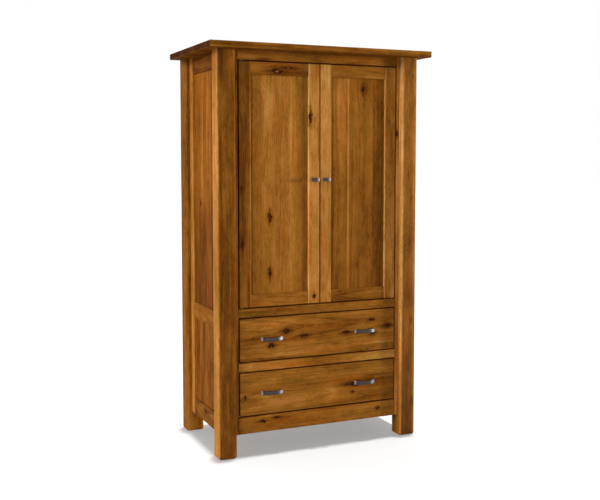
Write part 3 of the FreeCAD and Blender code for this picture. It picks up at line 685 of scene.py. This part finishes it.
def with_edges(board, level, flame):
    """The level with the wear at a board's edges, painted shade at its gaps and beside the stiles of the
    panels, and a painted highlight on stile edges.
    """
    if board.name not in SEVERAL_SOLIDS:
        rubbed = board.weighted(board.edge_distance(), (RUBBED_RAGGED, flame))
        level = board.toned(level, rubbed, *RUBBED_EDGE)
    # Painted shade along the sides that border a gap.
    for side in gap_sides(board):
        level = board.toned(level, board.from_plane(*side), *PAINTED_GAP_SHADE)
    # A painted highlight on the stile edge beside the panel.
    for side in highlighted_sides(board):
        level = board.toned(level, board.from_plane(*side), *PAINTED_EDGE_HIGHLIGHT)
    # Painted shade at the panel's left edge, where the stile's shadow falls.
    if board.name in PANEL_CORNER_SHADE:
        from_stile = board.from_plane(X, board.low[X])
        level = board.toned(level, from_stile, PANEL_CORNER_SHADE[board.name], *PANEL_CORNER_SHADE_FADE)
    return level


def stain_colour(board, level, figure):
    """The stain's colour, redder in places and greener in others, with dark pores."""
    colour = board.colours(level, STAIN)
    if board.name in RED_BOARDS:
        colour = board.mixed(1.0, colour, shade(*RED_CAST), "MULTIPLY")
    redder = board.fade(figure["warmth"], *REDDER_FADE)
    colour = board.mixed(redder, colour, shade(*REDDENED), "MULTIPLY")
    greener = board.fade(figure["warmth"], *GREENER_FADE)
    colour = board.mixed(greener, colour, shade(*OLIVE), "MULTIPLY")
    pores = board.maths("MULTIPLY", figure["pores"], PORE_STRENGTH)
    return board.mixed(pores, colour, shade(*PORE_BROWN))


def with_knots(board, colour):
    """The colour with a board's knots: a dark core with red specks, torn at its outline, in a red rim."""
    if not board.knots:
        return colour
    factor, added = KNOT_TORN
    torn = board.maths("MULTIPLY_ADD", board.grained("chips", board.place), factor, added)
    specks = board.fade(board.grained("specks", board.place), *SPECK_FADE)
    core = board.mixed(specks, shade(*KNOT_DARK), shade(*KNOT_RED))
    for _, distance, _ in board.knots:
        ragged = board.maths("MULTIPLY", distance, torn)
        rim = board.maths("MULTIPLY", board.fade(ragged, *KNOT_RIM_FADE), KNOT_RIM_STRENGTH)
        colour = board.mixed(rim, colour, shade(*KNOT_RED))
        colour = board.mixed(board.fade(ragged, *KNOT_CORE_FADE), colour, core)
        if board.name in WITH_HEARTS:
            colour = board.mixed(board.fade(ragged, *KNOT_HEART_FADE), colour, shade(*KNOT_HEART))
    return colour


def stained_wood(name):
    """Knotty hardwood under an amber stain and a satin finish: growth bands, streaks, flame, pores,
    knots that the grain flows round, darker end grain and edges rubbed paler."""
    board = Board(name)
    along, flow, tone = in_staves(board, board.parts[board.grain], grain_flow(board))
    figure = figure_parts(board, along, flow)
    level = figure_level(board, tone, figure)
    level = with_patches_and_painted_light(board, level, figure["flame"])
    level = with_edges(board, level, figure["flame"])
    level = board.weighted(level, (END_GRAIN_TONE, figure["end_grain"]))
    for _, distance, tail in board.knots:
        level = board.toned(level, distance, *KNOT_HALO)
        level = board.toned(level, tail, *KNOT_TAIL)
    colour = with_knots(board, stain_colour(board, level, figure))
    roughness = board.summed(PLAIN_ROUGHNESS, ROUGHNESS_PARTS, figure)
    board.bump(board.summed(0.0, RELIEF_PARTS, figure), RELIEF_DEPTH)
    coat = SHINY_BOARDS.get(name, SATIN_COAT)
    board.set(Specular_IOR_Level=0.0, Coat_Weight=coat, Coat_Roughness=COAT_ROUGHNESS)
    return board.set(Base_Color=colour, Roughness=roughness)


def pale_wood(name):
    """Unstained hardwood for drawer boxes and cleats, under a thin clear lacquer."""
    finish = Finish(name + "_wood")
    grain = Y if name == "support_cleats" else X
    shift = noise_shift(random.Random(name))
    parts = finish.split(finish.place)
    others = [parts[axis] for axis in (X, Y, Z) if axis != grain]
    place = finish.joined(parts[grain], *others)
    streak = finish.noise(place, waves=(2.0, 70.0, 70.0), detail=4.0, roughness=0.6, shift=shift)
    flame = finish.noise(place, waves=(3.0, 12.0, 12.0), detail=2.0, shift=shift)
    fibre = finish.noise(place, waves=(24.0, 1200.0, 1200.0), detail=1.0, shift=shift)
    level = finish.weighted(-0.45, (0.9, streak), (0.75, flame), (0.2, fibre))
    level = finish.weighted(level, (-0.35, finish.end_grain(grain)))
    roughness = finish.weighted(0.42, (0.2, streak))
    finish.bump(fibre, depth=0.0003)
    return finish.set(Base_Color=finish.colours(level, PALE_WOOD), Roughness=roughness)


def plywood(name):
    """Stained plywood: broad rotary-cut figure with fine fibres, duller than the solid boards."""
    finish = Finish(name + "_plywood")
    parts = finish.split(finish.place)
    place = finish.joined(parts[Z], parts[X], parts[Y])
    wander = finish.noise(place, waves=(0.8, 3.0, 1.0), detail=2.0)
    rings = finish.weighted(finish.maths("MULTIPLY", parts[X], 16.0), (15.0, wander))
    figure = finish.bands(rings, detail=1.0)
    fine_rings = finish.bands(finish.maths("MULTIPLY", rings, 3.6), detail=1.0)
    late = finish.fade(fine_rings, start=0.5, full=0.72)
    streak = finish.noise(place, waves=(2.0, 90.0, 1.0), detail=3.0)
    fibre = finish.noise(place, waves=(14.0, 700.0, 1.0), detail=2.0)
    level = finish.weighted(-0.36, (0.5, figure), (-0.14, late), (0.6, streak), (0.6, fibre))
    roughness = finish.weighted(0.5, (0.2, fibre))
    finish.bump(finish.weighted(fibre, (0.5, late)), depth=0.0002)
    finish.set(Specular_IOR_Level=0.1)
    return finish.set(Base_Color=finish.colours(level, PLYWOOD), Roughness=roughness)


def highlighted_ends(finish, along):
    """1 where a pull gets a painted highlight: at its right end and its left tip."""
    from_middle = finish.weighted(along, (-PULL_PLACE, finish.maths("SIGN", along)))
    right_end = finish.fade(from_middle, *PULL_RIGHT_END)
    left_tip = finish.fade(from_middle, *PULL_LEFT_TIP)
    return finish.maths("MAXIMUM", right_end, left_tip)


def pewter(name):
    """Brushed dark pewter: fine lines along the bar and a darker patina near the wood. The pulls are
    lighter at their right ends and left tips, a painted highlight where the side lamps glint, and the knobs
    are duller."""
    finish = Finish(name + "_pewter")
    knob = name.endswith("knob")
    low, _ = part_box(name)
    parts = finish.split(finish.place)
    brushed = finish.noise(finish.place, waves=(60.0, 900.0, 2600.0), detail=2.0)
    cloud = finish.noise(finish.place, waves=(120.0, 120.0, 120.0), detail=3.0)
    ragged = finish.weighted(parts[Y], (PATINA_RAGGED, cloud))
    near_wood = finish.fade(ragged, low[Y] + PATINA_STARTS, low[Y] + PATINA_FULL)
    patina = finish.weighted(-0.2, (0.7, near_wood), (0.7, cloud))
    colour = finish.mixed(patina, shade(*PEWTER), shade(*PEWTER_PATINA))
    if not knob:
        # Lighter metal at the ends: a painted highlight.
        colour = finish.mixed(highlighted_ends(finish, parts[X]), colour, shade(*PEWTER_HIGHLIGHT))
    least = KNOB_ROUGHNESS if knob else PULL_ROUGHNESS
    roughness = finish.weighted(least, (0.08, brushed), (0.06, cloud))
    finish.bump(brushed, depth=0.00005)
    return finish.set(Base_Color=colour, Metallic=1.0, Roughness=roughness)


def zinc_steel(name):
    """Zinc-plated steel: drawing lines along the part and dull smears."""
    finish = Finish(name + "_zinc")
    drawn = finish.noise(finish.place, waves=(1500.0, 30.0, 1500.0), detail=2.0)
    smear = finish.noise(finish.place, waves=(40.0, 12.0, 40.0), detail=3.0)
    colour = finish.mixed(smear, shade(*ZINC_DULL), shade(*ZINC_BRIGHT))
    roughness = finish.weighted(0.24, (0.16, drawn), (0.14, smear))
    finish.bump(drawn, depth=0.00004)
    return finish.set(Base_Color=colour, Metallic=1.0, Roughness=roughness)


def aged_brass(name):
    """Brass with brown tarnish that is rubbed through in places."""
    finish = Finish(name + "_brass")
    tarnish = finish.noise(finish.place, waves=(160.0, 160.0, 160.0), detail=4.0, roughness=0.6)
    lines = finish.noise(finish.place, waves=(2200.0, 500.0, 2200.0), detail=1.0)
    tarnished = finish.fade(tarnish, start=0.35, full=0.7)
    colour = finish.mixed(tarnished, shade(*BRASS), shade(*BRASS_TARNISH))
    roughness = finish.weighted(0.22, (0.3, tarnish))
    finish.bump(lines, depth=0.00004)
    return finish.set(Base_Color=colour, Metallic=1.0, Roughness=roughness)


def dark_plastic(name):
    """Moulded plastic: near black, with a fine grain and rubbed greyer patches."""
    finish = Finish(name + "_plastic")
    texture = finish.noise(finish.place, waves=(2600.0, 2600.0, 2600.0), detail=1.0)
    rubbed = finish.noise(finish.place, waves=(90.0, 90.0, 90.0), detail=3.0)
    colour = finish.mixed(rubbed, shade(*PLASTIC_BLACK), shade(*PLASTIC_GREY))
    roughness = finish.weighted(0.38, (0.2, rubbed), (0.1, texture))
    finish.bump(texture, depth=0.00008)
    return finish.set(Base_Color=colour, Roughness=roughness)


# The finish for each of the record's material slots.
MAKERS = {
    "stained_hardwood": stained_wood,
    "drawer_wood": pale_wood,
    "back_plywood": plywood,
    "pewter": pewter,
    "zinc_steel": zinc_steel,
    "aged_brass": aged_brass,
    "dark_plastic": dark_plastic,
}


def dress_nodes():
    """Gives each node of the frame a finish of its own."""
    slots = {part["node"]: part["material_slot"] for part in frame["record"]["subparts"]}
    for name, node in frame["nodes"].items():
        material = MAKERS[slots[name]](name)
        for slot in node.material_slots:
            slot.material = material


class Studio(Tree):
    """A node tree of the stage, for the world or the floor."""

    def __init__(self, tree):
        super().__init__(tree)
        self.path = self.add("ShaderNodeLightPath").outputs

    def seen(self):
        """1 for rays that look at the stage itself: from the camera, off a gloss and through glass."""
        direct = self.maths("MAXIMUM", self.path["Is Camera Ray"], self.path["Is Transmission Ray"])
        return self.maths("MAXIMUM", direct, self.path["Is Glossy Ray"])

    def choice(self, factor, first, second, output):
        """Mixes two shaders into the tree's output."""
        node = self.add("ShaderNodeMixShader")
        for socket, value in zip(node.inputs, (factor, first.outputs[0], second.outputs[0])):
            self.feed(socket, value)
        self.feed(self.nodes[output].inputs["Surface"], node.outputs[0])


def make_world():
    """A studio that is bright behind the object and to its left and dim behind the camera. Looked at
    directly, or in a gloss, it is plain white."""
    world = bpy.data.worlds.new("studio")
    bpy.context.scene.world = world
    world.use_nodes = True
    studio = Studio(world.node_tree)
    direction = studio.split(studio.add("ShaderNodeTexCoord").outputs["Generated"])
    behind = studio.fade(direction[Y], *SKY_BEHIND_FADE)
    left = studio.fade(direction[X], *SKY_LEFT_FADE)
    sky = studio.nodes["Background"]
    level = studio.weighted(SKY_FRONT, (SKY_BEHIND - SKY_FRONT, behind), (SKY_LEFT, left))
    studio.feed(sky.inputs["Strength"], level)
    white = studio.add("ShaderNodeBackground")
    for background in (sky, white):
        background.inputs["Color"].default_value = WHITE
    studio.choice(studio.seen(), sky, white, "World Output")


def make_floor():
    """A pale floor that takes the object's shadow and runs into the white background."""
    bpy.ops.mesh.primitive_plane_add(size=FLOOR_SIZE)
    floor = bpy.context.active_object
    floor.name = "floor"
    material = bpy.data.materials.new("floor")
    material.use_nodes = True
    studio = Studio(material.node_tree)
    studio.nodes.remove(studio.nodes["Principled BSDF"])
    seen = studio.seen()
    matt = studio.add("ShaderNodeBsdfDiffuse")
    studio.feed(matt.inputs["Color"], studio.mixed(seen, grey(FLOOR_ALBEDO), grey(FLOOR_SEEN_ALBEDO)))
    glow = studio.add("ShaderNodeEmission")
    studio.choice(studio.maths("MULTIPLY", seen, FLOOR_GLOW), matt, glow, "Material Output")
    floor.data.materials.append(material)
    return floor


def linked(name, thing, link_state):
    """A collection that links lamps to one object, or to all but that one."""
    collection = bpy.data.collections.new(name)
    collection.objects.link(thing)
    collection.collection_objects[0].light_linking.link_state = link_state
    return collection


def make_lamps(floor):
    """Lamps from the left, the right and above that light the object, and one that lights only the floor.
    On the floor the posts and the case cast the shadow, as in the photograph, and not the wider top."""
    all_but_floor = linked("all_but_floor", floor, "EXCLUDE")
    only_floor = linked("only_floor", floor, "INCLUDE")
    all_but_top = linked("all_but_top", frame["nodes"]["top_panel"], "EXCLUDE")
    for name, settings in LAMPS.items():
        lamp = bpy.data.lights.new(name, "SUN")
        lamp.energy = settings["strength"]
        lamp.angle = math.radians(settings["spread"])
        holder = bpy.data.objects.new(name, lamp)
        bpy.context.collection.objects.link(holder)
        holder.rotation_euler = Vector(settings["comes_from"]).to_track_quat("Z", "Y").to_euler()
        holder.light_linking.receiver_collection = all_but_floor
        if name == "floor":
            holder.light_linking.receiver_collection = only_floor
            holder.light_linking.blocker_collection = all_but_top


def make_camera():
    """The camera, at the photograph's place and angle."""
    data = bpy.data.cameras.new("camera")
    data.lens = CAMERA_LENS
    data.shift_y = CAMERA_SHIFT
    camera = bpy.data.objects.new("camera", data)
    bpy.context.collection.objects.link(camera)
    camera.location = CAMERA_PLACE
    camera.rotation_euler = (math.radians(90.0 - CAMERA_PITCH), 0.0, math.radians(-CAMERA_YAW))
    bpy.context.scene.camera = camera


dress_nodes()
make_world()
make_lamps(make_floor())
make_camera()
bpy.context.scene.view_settings.view_transform = "Standard"
